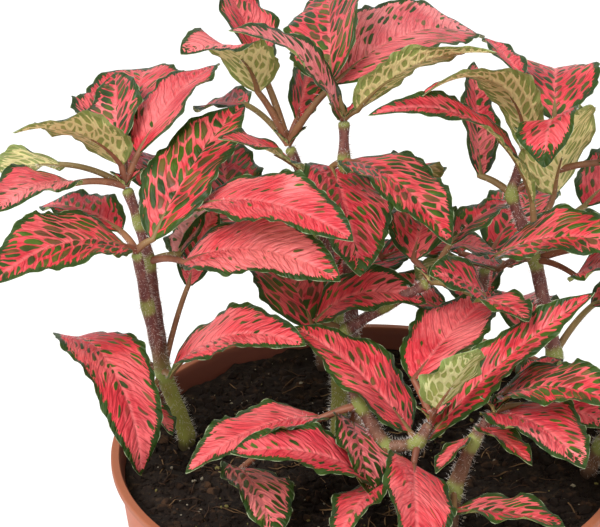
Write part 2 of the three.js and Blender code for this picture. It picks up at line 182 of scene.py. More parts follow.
def solid(name, points, triangles, materials, slots=None, sharp=math.radians(50), values=None):
    """A mesh object: points that coincide, to a tenth of a micrometre, are merged, so seams and
    poles close. Triangles that shrink to nothing are dropped, and so are two that then lie back
    to back. slots gives each triangle's material, values vectors by name."""
    keys = np.round(points * 1e7).astype(np.int64)
    _, first, merged = np.unique(keys, axis=0, return_index=True, return_inverse=True)
    triangles = merged.reshape(-1)[triangles]
    corners = np.sort(triangles, axis=1)
    _, twin, copies = np.unique(corners, axis=0, return_inverse=True, return_counts=True)
    whole = copies[twin.reshape(-1)] == 1
    for i in range(3):
        whole &= triangles[:, i] != triangles[:, i - 1]
    triangles = triangles[whole]
    mesh = bpy.data.meshes.new(name)
    mesh.vertices.add(len(first))
    mesh.vertices.foreach_set("co", points[first].ravel())
    mesh.loops.add(triangles.size)
    mesh.loops.foreach_set("vertex_index", triangles.ravel())
    mesh.polygons.add(len(triangles))
    mesh.polygons.foreach_set("loop_start", np.arange(0, triangles.size, 3))
    if slots is not None:
        mesh.polygons.foreach_set("material_index", slots[whole])
    mesh.polygons.foreach_set("use_smooth", np.ones(len(triangles), bool))
    for key, vectors in (values or {}).items():
        layer = mesh.attributes.new(key, "FLOAT_VECTOR", "POINT")
        layer.data.foreach_set("vector", vectors[first].astype(np.float32).ravel())
    mesh.update(calc_edges=True)
    mesh.set_sharp_from_angle(angle=sharp)
    for each in materials:
        mesh.materials.append(each)
    return added(name, mesh)


def lathe(profile, sides):
    """Points of a surface of revolution about Z: each (radius, height) of the profile turned in a
    ring, with the angle growing along each row."""
    radius, height = np.array(profile).T
    angle = np.linspace(0, 2 * np.pi, sides, endpoint=False)
    x, y = radius[:, None] * np.cos(angle), radius[:, None] * np.sin(angle)
    z = np.repeat(height[:, None], sides, axis=1)
    return vectors(x, y, z).reshape(-1, 3)


def wall_radius(z):
    """The wall's outer radius: it grows evenly from the foot to under the lip."""
    return FOOT_RADIUS + (WALL_TOP_RADIUS - FOOT_RADIUS) * z / (POT_HEIGHT - LIP_THICKNESS)


def corner(radius, height, start):
    """Points of a quarter round of the lip's outer edge, from the angle start upwards."""
    turns = np.radians(start + np.linspace(0, 90, 5))
    return [(radius + LIP_ROUNDING * np.cos(a), height + LIP_ROUNDING * np.sin(a)) for a in turns]


lip_bottom = POT_HEIGHT - LIP_THICKNESS
lip_edge = LIP_RADIUS - LIP_ROUNDING
outer_rings = np.linspace(LOWEST_WALL_RING, lip_bottom - FILLET_DROP, 12)
inner_rings = np.linspace(lip_bottom - NECK_DEPTH, LOWEST_WALL_RING, 8)
pot_profile = [
    (0, 0),
    (FOOT_RADIUS - FOOT_BEVEL, 0),
    (wall_radius(FOOT_BEVEL), FOOT_BEVEL),
    *((wall_radius(z), z) for z in outer_rings),
    (WALL_TOP_RADIUS + FILLET_WIDTH, lip_bottom),
    *corner(lip_edge, lip_bottom + LIP_ROUNDING, -90),
    *corner(lip_edge, POT_HEIGHT - LIP_ROUNDING, 0),
    (LIP_INNER_RADIUS + LIP_CHAMFER, POT_HEIGHT),
    (LIP_INNER_RADIUS, POT_HEIGHT - LIP_CHAMFER),
    (WALL_TOP_RADIUS - WALL, lip_bottom),
    *((wall_radius(z) - WALL, z) for z in inner_rings),
    (wall_radius(BASE_THICKNESS) - WALL, BASE_THICKNESS),
    (0, BASE_THICKNESS),
]

pot_plastic, tree, shader = material("Terracotta plastic", 0.55, 0.2)
place = put(tree, "TexCoord").outputs["Object"]
height = put(tree, "SeparateXYZ", {0: place}).outputs["Z"]
clouds = noise(tree, 45.0, 4.0)
# Painted shade: the lip is painted a darker brown than the wall, standing in for the shadow the
# leaves cast on it.
is_shaded_lip = ramp(tree, height, lip_bottom - FILLET_DROP, lip_bottom + SHADE_BLEND)
shade = mixed(tree, is_shaded_lip, POT_WALL_COLOUR, POT_LIP_SHADE_COLOUR)
faded_and_shaded = mixed(tree, ramp(tree, clouds, 0.35, 0.75, 0.0, 0.25), shade, POT_FADED_COLOUR)
# Painted shade: the inner wall is painted a much darker maroon, standing in for the shade inside
# the pot.
flat = {0: place, 1: (1.0, 1.0, 0.0)}
level_place = put(tree, "VectorMath", flat, operation="MULTIPLY").outputs[0]
radius = put(tree, "VectorMath", {0: level_place}, operation="LENGTH").outputs["Value"]
taper = (WALL_TOP_RADIUS - FOOT_RADIUS) / lip_bottom
outside = linear(tree, height, taper, FOOT_RADIUS - WALL / 2)
is_shaded_inside = ramp(tree, calc(tree, "SUBTRACT", outside, radius), -SHADE_BLEND, SHADE_BLEND)
faded_and_shaded = mixed(tree, is_shaded_inside, faded_and_shaded, POT_INSIDE_SHADE_COLOUR)
paint(tree, shader, faded_and_shaded, noise(tree, 2600.0, 2.0), 0.25, 0.0001)
tree.links.new(ramp(tree, clouds, 0.3, 0.8, 0.48, 0.64), shader.inputs["Roughness"])

pot_points = lathe(pot_profile, POT_SIDES)
pot_triangles = grid_triangles(len(pot_profile), POT_SIDES, wrap=True)
pot = solid("pot_moulded", pot_points, pot_triangles, [pot_plastic], sharp=math.radians(32))

drill_profile = [
    (0, DRILL_BOTTOM),
    (DRAIN_RADIUS, DRILL_BOTTOM),
    (DRAIN_RADIUS, DRILL_TOP),
    (0, DRILL_TOP),
]
drill_points = lathe(drill_profile, DRAIN_SIDES)
angles = 2 * np.pi * (np.arange(DRAIN_HOLES) + 0.5) / DRAIN_HOLES
centres = DRAIN_CIRCLE * vectors(np.cos(angles), np.sin(angles), 0 * angles)
all_drills = (drill_points[None] + centres[:, None]).reshape(-1, 3)
one_drill = grid_triangles(len(drill_profile), DRAIN_SIDES, wrap=True)
drill_triangles = copies_of(one_drill, DRAIN_HOLES, len(drill_points))
drills = solid("drain_drills", all_drills, drill_triangles, [])
cut = pot.modifiers.new("Drain holes", "BOOLEAN")
cut.operation = "DIFFERENCE"
cut.object = drills
drilled = bpy.data.meshes.new_from_object(pot.evaluated_get(bpy.context.evaluated_depsgraph_get()))
pot.modifiers.clear()
pot.data = drilled
bpy.data.objects.remove(drills)
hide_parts("pot")
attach(pot, "root")


# Soil
# Dark moist peat, poured loose and pressed a little: a lumpy top strewn with crumbs, pale root and
# straw fibres that lie on it, and light grains of grit. It fills the pot to just under the lip.
SOIL_LEVEL = 0.095
SOIL_RISE = 0.0012
SOIL_GAP = 0.0001
SHOULDER_DEPTH = 0.004
SOIL_SIDES = 240
SOIL_RINGS = 84
SOIL_ROUGHNESS = ((0.014, 0.0011), (0.0055, 0.0009), (0.0022, 0.0006), (0.0009, 0.0003))
LATTICE = 256
CRUMBS = 4200
CRUMB_SIZES = (0.00035, 0.0016)
CRUMB_REACH = 0.0545
CRUMB_LIFT = 0.0001
CRUMB_SQUASH = 0.75
FIBRES = 280
FIBRE_REACH = 0.05
FIBRE_LENGTHS = (0.002, 0.010)
FIBRE_RADII = (0.00006, 0.00017)
FIBRE_BEND = 90
FIBRE_CLEARANCE = 0.0003
FIBRE_LOOSENESS = 0.0006
FIBRE_RINGS = 5
FIBRE_SIDES = 4
GRAINS = 270
GRAIN_SIZES = (0.00018, 0.0006)
GRAIN_REACH = 0.054
GRAIN_LIFT = 0.0006
GRAIN_SQUASH = 0.85
PEAT_WET = (0.006, 0.0032, 0.0022, 1)
PEAT_DAMP = (0.017, 0.0095, 0.0062, 1)
PEAT_DRY = (0.05, 0.028, 0.016, 1)
CRUMB_COLOURS = ((0.012, 0.0065, 0.0042, 1), (0.062, 0.03, 0.015, 1))
FIBRE_COLOURS = ((0.05, 0.022, 0.01, 1), (0.3, 0.17, 0.075, 1))
GRIT_COLOURS = ((0.17, 0.14, 0.04, 1), (0.26, 0.22, 0.16, 1))
SKEW = (0.31, 0.52, 0.79)
rng = np.random.default_rng(41)


def lattice_noise(x, y, cell, seed):
    """Smooth noise from -1 to 1: random values at the corners of square cells, blended between
    them with a smooth step in both directions."""
    table = np.random.default_rng(seed).uniform(-1, 1, (LATTICE + 1, LATTICE + 1))
    u, v = x / cell + LATTICE / 2, y / cell + LATTICE / 2
    i, j = np.floor(u).astype(int), np.floor(v).astype(int)
    s, t = (f * f * (3 - 2 * f) for f in (u - i, v - j))
    i, j = i % LATTICE, j % LATTICE
    low = table[i, j] * (1 - s) + table[i + 1, j] * s
    high = table[i, j + 1] * (1 - s) + table[i + 1, j + 1] * s
    return low * (1 - t) + high * t


def soil_top(x, y):
    """Height of the peat's top: a slight rise in the middle, plus noise in four sizes of lump."""
    height = SOIL_LEVEL + SOIL_RISE * (1 - (x * x + y * y) / LIP_RADIUS**2)
    for seed, (cell, lift) in enumerate(SOIL_ROUGHNESS):
        height = height + lift * lattice_noise(x, y, cell, seed)
    return height


peat_radius = wall_radius(SOIL_LEVEL) - WALL - SOIL_GAP
ring = np.linspace(0, peat_radius, SOIL_RINGS)
turn = np.linspace(0, 2 * np.pi, SOIL_SIDES, endpoint=False)
x, y = ring[:, None] * np.cos(turn), ring[:, None] * np.sin(turn)
peat_top = vectors(x, y, soil_top(x, y))
shoulder = lathe([(peat_radius, SOIL_LEVEL - SHOULDER_DEPTH)], SOIL_SIDES)
peat_floor = BASE_THICKNESS + SOIL_GAP
floor_radius = wall_radius(peat_floor) - WALL - SOIL_GAP
bottom = lathe([(floor_radius, peat_floor), (0, peat_floor)], SOIL_SIDES)
peat_points = np.concatenate([peat_top.reshape(-1, 3), shoulder, bottom])
peat_triangles = grid_triangles(SOIL_RINGS + 3, SOIL_SIDES, wrap=True)[:, ::-1]

peat, tree, shader = material("Moist peat", 0.95, 0.25)
lumps = noise(tree, 620.0, 5.0)
dark = mixed(tree, noise(tree, 70.0, 2.0), PEAT_WET, PEAT_DAMP)
earth = mixed(tree, ramp(tree, lumps, 0.5, 0.78), dark, PEAT_DRY)
paint(tree, shader, earth, lumps, 0.9, 0.0007)
soil = solid("peat_bed", peat_points, peat_triangles, [peat])
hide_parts("soil")
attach(soil, "root")


def two_tone(name, roughness, specular, texture, step, colours):
    """A material in patches of two colours: the second where noise, with a scale and detail, is
    over the step."""
    made, tree, shader = material(name, roughness, specular)
    paint(tree, shader, mixed(tree, ramp(tree, noise(tree, *texture), *step), *colours))
    return made


def strewn(count, reach, lift=0.0):
    """Random places on the peat, evenly spread over the disc, lift above its top."""
    radius = reach * np.sqrt(rng.uniform(0, 1, count))
    angle = rng.uniform(0, 2 * np.pi, count)
    x, y = radius * np.cos(angle), radius * np.sin(angle)
    return vectors(x, y, soil_top(x, y) + lift)


def lumps_at(places, sizes, squash):
    """A crumb at each place: the points of an icosahedron, each pushed in or out by up to a third,
    then the whole stretched, scaled to its size, flattened by squash and turned about Z. (points,
    triangles)."""
    golden = (1 + math.sqrt(5)) / 2
    base = []
    for a in (-1, 1):
        for b in (-golden, golden):
            base += [(0, a, b), (a, b, 0), (b, 0, a)]
    base = np.array(base) / math.hypot(1, golden)
    gaps = np.linalg.norm(base[:, None] - base[None], axis=-1)
    # Neighbours are 1.05 apart, and all others 1.7 or more
    near = (gaps > 0) & (gaps < 1.1)
    faces = []
    for i, j, k in itertools.combinations(range(len(base)), 3):
        if near[i, j] and near[j, k] and near[i, k]:
            out = np.dot(np.cross(base[j] - base[i], base[k] - base[i]), base[i]) > 0
            faces.append((i, j, k) if out else (i, k, j))
    count = len(places)
    pushed = rng.uniform(0.68, 1.3, (count, len(base), 1))
    stretched = rng.uniform(0.7, 1.3, (count, 1, 3))
    points = base[None] * pushed * stretched * sizes[:, None, None] * np.array([1, 1, squash])
    turn = rng.uniform(0, 2 * np.pi, count)[:, None]
    x = points[..., 0] * np.cos(turn) - points[..., 1] * np.sin(turn)
    y = points[..., 0] * np.sin(turn) + points[..., 1] * np.cos(turn)
    points = vectors(x, y, points[..., 2]) + places[:, None]
    return points.reshape(-1, 3), copies_of(np.array(faces), count, len(base))


crumb_sizes = CRUMB_SIZES[0] + (CRUMB_SIZES[1] - CRUMB_SIZES[0]) * rng.uniform(0, 1, CRUMBS) ** 4
crumb_places = strewn(CRUMBS, CRUMB_REACH, CRUMB_LIFT)
crumb_points, crumb_triangles = lumps_at(crumb_places, crumb_sizes, CRUMB_SQUASH)
crumb = two_tone("Peat crumb", 0.95, 0.2, (260.0, 3.0), (0.52, 0.74), CRUMB_COLOURS)
crumbs = solid("peat_crumbs", crumb_points, crumb_triangles, [crumb], sharp=math.radians(20))
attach(crumbs, "root")


def tubes(paths, radii, sides):
    """Round threads along many paths at once. paths is (threads, rings, 3) and radii the same
    without the 3. Each ring stands across its path, and its first spoke is carried on from the ring
    before, so that the tube doesn't twist; that of the first ring is square to SKEW, a direction
    that no path takes. Both ends are closed. (points, triangles)."""
    tangent = unit(np.gradient(paths, axis=1))
    side = np.cross(tangent[:, 0], SKEW)
    sides_on = []
    for i in range(paths.shape[1]):
        side = unit(side - (side * tangent[:, i]).sum(axis=-1, keepdims=True) * tangent[:, i])
        sides_on.append(side)
    level = np.stack(sides_on, axis=1)
    upright = np.cross(level, tangent)
    turn = np.linspace(0, 2 * np.pi, sides, endpoint=False)
    spoke = level[:, :, None] * np.cos(turn)[:, None] + upright[:, :, None] * np.sin(turn)[:, None]
    points = paths[:, :, None] + radii[:, :, None, None] * spoke
    ends = [np.repeat(paths[:, [i], None], sides, axis=2) for i in (0, -1)]
    points = np.concatenate([ends[0], points, ends[1]], axis=1)
    rings = points.shape[1]
    one = grid_triangles(rings, sides, wrap=True)[:, ::-1]
    return points.reshape(-1, 3), copies_of(one, len(paths), rings * sides)


middles = strewn(FIBRES, FIBRE_REACH)
lengths = rng.uniform(*FIBRE_LENGTHS, FIBRES)
heading = rng.uniform(0, 2 * np.pi, FIBRES)
bend = rng.uniform(-FIBRE_BEND, FIBRE_BEND, FIBRES)
along = np.linspace(-0.5, 0.5, FIBRE_RINGS)
walk = along[None] * lengths[:, None]
course = heading[:, None] + bend[:, None] * walk
fibre_x = middles[:, :1] + walk * np.cos(course)
fibre_y = middles[:, 1:2] + walk * np.sin(course)
fibre_z = soil_top(fibre_x, fibre_y) + FIBRE_CLEARANCE
fibre_z = fibre_z + rng.uniform(0, FIBRE_LOOSENESS, (FIBRES, 1))
fibre_paths = vectors(fibre_x, fibre_y, fibre_z)
blunt_ends = np.sqrt(1.0001 - (2 * along[None]) ** 6)
fibre_radii = rng.uniform(*FIBRE_RADII, (FIBRES, 1)) * blunt_ends
fibre_points, fibre_triangles = tubes(fibre_paths, fibre_radii, FIBRE_SIDES)
fibre = two_tone("Dry fibre", 0.8, 0.3, (120.0, 1.0), (0.42, 0.7), FIBRE_COLOURS)
fibres = solid("soil_fibres", fibre_points, fibre_triangles, [fibre])
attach(fibres, "root")

grain_sizes = GRAIN_SIZES[0] + (GRAIN_SIZES[1] - GRAIN_SIZES[0]) * rng.uniform(0, 1, GRAINS) ** 3
grain_places = strewn(GRAINS, GRAIN_REACH, GRAIN_LIFT)
grain_points, grain_triangles = lumps_at(grain_places, grain_sizes, GRAIN_SQUASH)
grit = two_tone("Pale grit", 0.8, 0.3, (90.0, 0.0), (0.45, 0.58), GRIT_COLOURS)
grains = solid("soil_grit", grain_points, grain_triangles, [grit], sharp=math.radians(20))
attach(grains, "root")


# Leafy stems
# Ten living stems, each grown as one piece from its root: round hairy stems swollen at the nodes,
# petioles, and thin waved leaves whose coral veins net green cells inside a toothed green margin.
STEM_FOOT = 0.098
ROOT_DEPTH = 0.009
STEM_ROOT_RADIUS = 0.0021
STEM_TIP_RADIUS = 0.0011
NODE_SWELL = 0.00035
NODE_HALF_LENGTH = 0.0022
FRESH_SPACING = 0.0085
STEM_SIDES = 20
RING_SPACING = 0.0006
BEND_RINGS = 4
OLD_NODE = 0.3
RIPPLE_HEIGHT = 0.00006
RIPPLE_LENGTH = 0.0011
STEM_END = (0.85, 0.5)
PETIOLE_RADIUS = 0.0009
PETIOLE_ARCH = 0.16
PETIOLE_RINGS = 22
PETIOLE_SIDES = 10
PETIOLE_REACH = 0.35
PETIOLE_FORWARD = 0.6
PETIOLE_SUNK = 0.75
PETIOLE_LEAST = 0.55
PETIOLE_GAIN = 0.45
PETIOLE_TAPER = (0.8, 0.15)
FULL_PETIOLE_LEAF = 0.03
BLADE_THICKNESS = 0.00036
BLADE_ROW_SPACING = 0.00078
BLADE_COLUMN_SPACING = 0.00064
LEAST_ROWS = 12
LEAST_PAIRS = 5
MIDRIB_CROWDING = 0.2
FOLD = math.radians(11)
FOOT_HALF_WIDTH = 0.0009
TIP_HALF_WIDTH = 0.00005
BLADE_POWERS = (0.62, 0.85)
MIDRIB_STEPS = 24
WAVE_HEIGHT = 0.0011
FULL_WAVE_WIDTH = 0.016
WAVES = 2.4
PHASE_STEP = 0.618
SIDE_PHASE = 0.37
CRINKLE_HEIGHT = 0.00042
CRINKLE_LENGTH = 0.0056
CRINKLE_PHASE = 0.4
CRINKLE_LAG = 1.2
SCALLOP = 0.03
SCALLOP_LENGTH = 0.0036
SCALLOP_PHASE = 0.5
FULL_SCALLOP_WIDTH = 0.004
QUILT_HEIGHT = 0.00016
QUILT_LENGTH = 0.0044
QUILT_PHASE = 0.3
QUILT_LEAN = 1.1
MIDRIB_GROOVE = 0.00022
MIDRIB_RIDGE = 0.00045
MIDRIB_HALF_WIDTH = 0.0005
MARGIN = 0.0018
FULL_MARGIN_WIDTH = 0.0045
LEAST_MARGIN = 0.35
TIP_MARGIN = 0.4
HAIRS_PER_METRE = 24000
LEAST_HAIR_LENGTH = 0.0005
HAIR_LENGTH = 0.0014
HAIR_RADIUS = 0.00004
HAIR_LEAN = 0.32
HAIR_SCATTER = 0.0002
HAIRLESS_DEPTH = 0.0015
PETIOLE_HAIRS_PER_METRE = 5000
PETIOLE_HAIR_LENGTH = 0.0010
LEAF_SEEDS = 10
MILLIMETRES = 1000
UPPER, UNDER, STALK, BARK, DOWN = range(5)

# Each shoot leaf is its length and width in metres, and its heading and rise in degrees.
SHOOT_LEAVES = ((0.0062, 0.0030, 12, 62), (0.0056, 0.0028, 195, 68), (0.0038, 0.0018, 100, 78))
SHOOT_DROOP = 40
SHOOT_GREEN = 0.1
SHOOT_PALE = 0.2

# By how much the stem is olive, from 0 to 1, near the soil. The others are PLAIN_BASE.
OLIVE_BASES = {"stem_left": 1.0, "stem_centre": 1.0, "stem_rear_left": 0.6, "stem_rear_right": 0.4}
PLAIN_BASE = 0.15

# Each branch is its nodes x, y, z from the soil up, in millimetres.
BRANCHES = {
    "stem_left": (
        ((-43, 9, 98), (-48, 8, 115), (-51, 6, 134), (-53, 4, 149)),
        ((-48, 8, 115), (-51, 14, 141), (-53, 15, 151), (-56, 17, 159)),
    ),
    "stem_rear_left": (
        ((-6, 27, 98), (-8, 28, 120), (-13, 29, 142), (-15, 31, 151)),
        ((-8, 28, 120), (-11, 27, 145), (-19, 27, 165)),
    ),
    "stem_rear_middle": (
        ((-2, 10, 98), (-4, 14, 120), (-5, 18, 150), (-6, 20, 164), (-6, 22, 174)),
    ),
    "stem_rear_right": (((44, 6, 98), (43, 9, 120), (38, 12, 143), (32, 14, 159), (36, 18, 170)),),
    "stem_centre": (((-7, 12, 98), (-7, 9, 115), (-6, 5, 128), (4, 3, 136), (14, 3, 142)),),
    "stem_front": (
        ((8, -22, 98), (4, -20, 112), (-2, -17, 121), (-5, -13, 127)),
        ((4, -20, 112), (11, -22, 114), (14, -20, 119)),
    ),
    "stem_front_right": (((18, -31, 98), (19, -28, 106), (23, -26, 117), (28, -24, 124)),),
    "stem_back": (((-11, 46, 98), (-12, 48, 104), (-16, 50, 116), (-18, 50, 126)),),
    "stem_back_right": (((23, 40, 98), (24, 42, 104), (27, 44, 115), (28, 46, 124)),),
    "stem_right": (((51, -4, 98), (54, -5, 104), (58, -6, 116), (60, -6, 126)),),
}
# Each leaf is the foot of its blade x, y, z in millimetres; in degrees its heading, its rise at
# the foot and its droop to the tip; its length and width in millimetres; its roll in degrees;
# from 0 to 1 how much of it is green and how pale it is, which also sets its painted sheen, or
# under 0 how dark; and for two of them a twist in degrees.
LEAVES = {
    "stem_left": (
        (-70, 10, 122, 302, 43, 143, 51, 19, -10, 0.3, 0.1),
        (-46, 1, 118, 332, 62, 72, 43, 18, 15, 0.2, 0.25),
        (-52, 5, 109, 300, 10, 40, 14, 8, -25, 0.3, 0.2),
        (-55, 2, 151, 227, 38, 60, 42, 20, -15, 0.75, 0.1),
        (-57, 10, 151, 132, 10, 40, 32, 14, -5, 0.5, -0.2),
        (-49, 4, 152, 55, 50, 38, 41, 19, 0, 0.95, 0.1),
        (-42, 6, 145, 329, 39, 60, 44, 20, 20, 0.12, 0.4),
        (-68, 16, 160, 235, 32, 50, 30, 17, 0, 0.2, 0.6),
        (-71, 20, 163, 141, -8, 30, 22, 14, 40, 0.3, 0.3),
        (-57, 18, 164, 223, 60, 60, 36, 16, 30, 0.35, 0.1),
        (-53, 20, 166, 58, 42, 50, 35, 19, -20, 0.1, 0.35),
        (-58, 21, 167, 95, 25, 20, 27, 15, -30, 0.8, 0.5),
        (-58, 26, 165, 108, 22, 50, 28, 18, 15, 0.4, 0.1),
        (-57, 27, 164, 84, 33, 50, 36, 26, -10, 0.35, 0.1),
        (-39, 9, 158, 323, 31, 50, 46, 20, 10, 0.15, 0.5),
        (-44, 14, 143, 78, 13, 20, 24, 12, -30, 0.3, 0.9),
        (-42, 14, 135, 60, 68, 40, 20, 9, 30, 0.35, 0.1),
        (-52, 24, 155, 85, 15, 60, 32, 17, 0, 0.4, 0),
    ),
    "stem_rear_left": (
        (-29, 38, 170, 125, -10, 30, 24, 12, -10, 0.4, -0.3),
        (-26, 30, 177, 228, 80, 90, 33, 17, 40, 0.3, 0.5, -60),
        (-25, 34, 180, 123, 60, 40, 31, 20, 30, 0.35, 0.3),
        (-17, 30, 170, 80, 35, 40, 22, 10, 45, 0.6, -0.1),
        (-16, 22, 161, 220, 47, 30, 28, 12, -5, 0.2, 0.2),
        (-8, 28, 180, 43, 30, 66, 50, 26, 8, 0.38, 0.65),
        (-6, 34, 140, 100, 25, 60, 36, 18, 0, 0.4, 0),
        (-33, 34, 146, 100, 29, 30, 26, 18, 15, 0.7, -0.3),
        (-8, 34, 136, 45, 20, 60, 34, 18, 0, 0.4, 0),
        (-10, 36, 120, 95, 52, 60, 34, 17, 0, 0.4, 0),
    ),
    "stem_rear_middle": (
        (-7, 22, 174, 217, 74, 60, 44, 12, -60, 0.6, 0.75, 60),
        (-3, 22, 176, 330, 58, 52, 43, 12, -35, 0.3, 0.2),
        (-9, 25, 182, 92, 35, 50, 42, 23, -40, 0.95, 0.1),
        (-5, 18, 165, 307, 21, 60, 40, 19, -5, 0.7, 0),
        (-9, 21, 162, 283, 4, 54, 34, 22, -20, 0.55, 0.25),
        (4, 26, 157, 62, 5, 60, 28, 15, 0, 0.4, 0),
        (3, 20, 139, 18, 22, 60, 31, 17, 0, 0.4, 0),
    ),
    "stem_rear_right": (
        (37, 14, 157, 213, 76, 80, 60, 12, -15, 0.3, -0.15),
        (25, 17, 162, 92, 41, 20, 32, 12, 40, 0.45, 0.3),
        (35, 20, 167, 219, 95, 120, 46, 13, 30, 0.3, 0.2),
        (34, 26, 183, 110, 11, 20, 22, 9, 20, 0.3, 0.1),
        (42, 24, 173, 87, 31, 75, 36, 21, 0, 0.6, 0.1),
        (41, 11, 178, 260, 50, 125, 20, 16, 25, 0.4, 0.1),
        (42, 16, 158, 299, 86, 40, 30, 20, 5, 0.3, 0.2),
        (29, 8, 146, 326, 43, 50, 40, 18, 15, 0.85, -0.1),
        (47, 4, 143, 306, 51, 40, 22, 14, 25, 0.4, 0.1),
        (52, 18, 165, 10, 35, 70, 40, 19, 0, 0.45, 0.1),
        (50, 26, 150, 50, 25, 60, 38, 19, 0, 0.4, 0),
        (56, 8, 148, 345, 30, 70, 38, 19, 0, 0.5, 0),
        (30, 26, 133, 134, 2, 60, 30, 16, 20, 0.4, 0),
        (52, 18, 128, 20, 20, 60, 36, 18, 0, 0.5, 0),
        (38, 24, 116, 92, 20, 60, 31, 16, 0, 0.5, 0),
    ),
    "stem_centre": (
        (18, 2, 152, 51, 25, 40, 24, 10, -5, 0.8, -0.3),
        (26, -2, 141, 218, 53, 40, 20, 12, -35, 0.6, -0.1),
        (25, -4, 141, 301, 30, 40, 20, 12, -5, 0.5, 0),
        (-13, 6, 128, 114, 40, 50, 30, 22, 5, 0.9, 0.1),
        (-12, 6, 130, 351, 60, 90, 29, 14, 20, 0.3, 0.1),
        (10, 8, 145, 80, 30, 60, 30, 16, 0, 0.5, 0),
    ),
    "stem_front": (
        (-10, -16, 117, 223, 28, 50, 42, 16, 5, 0.15, 0.2),
        (1, -30, 109, 203, 49, 50, 38, 15, -15, 0.25, 0),
        (-29, -20, 106, 291, 24, 70, 26, 17, -20, 0.6, 0.7),
        (-4, -14, 115, 281, 15, 60, 24, 17, -35, 0.7, 0.7),
        (9, -18, 115, 151, 52, 40, 36, 19, 0, 0.35, 0.1),
        (10, -14, 126, 55, 27, 30, 36, 19, -5, 0.05, 0.35),
        (15, -26, 126, 325, 65, 10, 21, 15, -25, 0.3, 0.95),
        (13, -20, 114, 3, 55, 20, 52, 15, 15, 0.55, -0.1),
        (10, -26, 111, 271, 22, 70, 34, 19, -35, 0.05, 0.2),
        (3, -28, 107, 247, 24, 50, 26, 13, 20, 0.2, 0),
    ),
    "stem_front_right": (
        (28, -21, 121, 306, 33, 60, 33, 20, -5, 0.3, 0.4),
        (28, -17, 123, 321, 42, 50, 38, 17, 10, 0.9, 0.1),
        (24, -24, 120, 306, 18, 40, 20, 9, -15, 0.3, 0),
        (22, -26, 118, 238, 6, 30, 14, 7, 25, 0.3, 0),
        (40, -16, 120, 335, 20, 50, 16, 10, 20, 0.3, 0),
        (34, -13, 126, 51, 3, 20, 16, 9, -10, 0.3, 0),
        (19, -34, 104, 334, 22, 30, 27, 16, -10, 0.6, 0.1),
    ),
    "stem_back": (
        (-14, 52, 114, 100, 20, 70, 36, 18, 0, 0.5, 0.1),
        (-8, 48, 116, 46, 28, 60, 32, 17, 0, 0.35, 0.2),
        (-22, 50, 126, 140, 35, 60, 32, 16, 0, 0.6, 0),
        (-12, 52, 126, 85, 30, 60, 30, 16, 0, 0.4, 0.1),
    ),
    "stem_back_right": (
        (26, 46, 112, 93, 27, 70, 33, 17, -10, 0.5, 0.1),
        (18, 42, 113, 150, 25, 60, 30, 15, 0, 0.35, 0.2),
        (30, 50, 126, 60, 35, 60, 34, 17, 0, 0.7, 0),
        (22, 48, 126, 115, 20, 60, 32, 16, 0, 0.4, 0.1),
        (34, 42, 126, 20, 40, 60, 32, 16, 0, 0.5, 0),
    ),
    "stem_right": (
        (58, -10, 114, 320, 30, 70, 36, 18, 0, 0.5, 0.1),
        (62, -2, 120, 30, 30, 60, 36, 18, 0, 0.7, 0),
        (62, -8, 128, 350, 40, 60, 34, 17, 0, 0.4, 0.2),
        (60, -2, 128, 70, 40, 60, 32, 16, 0, 0.5, 0),
    ),
}
LEAF_UNITS = (1000, 1000, 1000, 1, 1, 1, 1000, 1000, 1, 1, 1, 1)
LEAF_FIELDS = "x y z heading rise droop length width roll green pale twist"
Leaf = namedtuple("Leaf", LEAF_FIELDS, defaults=[0])


def turned_frame(leaf, t):
    """Directions along, across and out of a blade at t, from 0 at the foot to 1 at the tip: it
    points to its heading, its pitch falls evenly by its droop, and it is rolled about its own
    line, evenly more by its twist."""
    turn = math.radians(leaf.heading)
    pitch = np.radians(leaf.rise - leaf.droop * t)
    tilt = np.radians(leaf.roll + leaf.twist * t)[..., None]
    flat = np.cos(pitch)
    along = vectors(flat * math.cos(turn), flat * math.sin(turn), np.sin(pitch))
    level = np.array([-math.sin(turn), math.cos(turn), 0.0])
    across = np.cos(tilt) * level + np.sin(tilt) * np.cross(along, level)
    return along, across, np.cross(along, across)


def midrib(leaf, t):
    """The midrib's points at t: the foot plus many short steps along the arc."""
    steps = t[:, None] * (np.arange(MIDRIB_STEPS) + 0.5) / MIDRIB_STEPS
    along, _, _ = turned_frame(leaf, steps)
    return np.array(leaf[:3]) + leaf.length * t[:, None] * along.mean(axis=1)


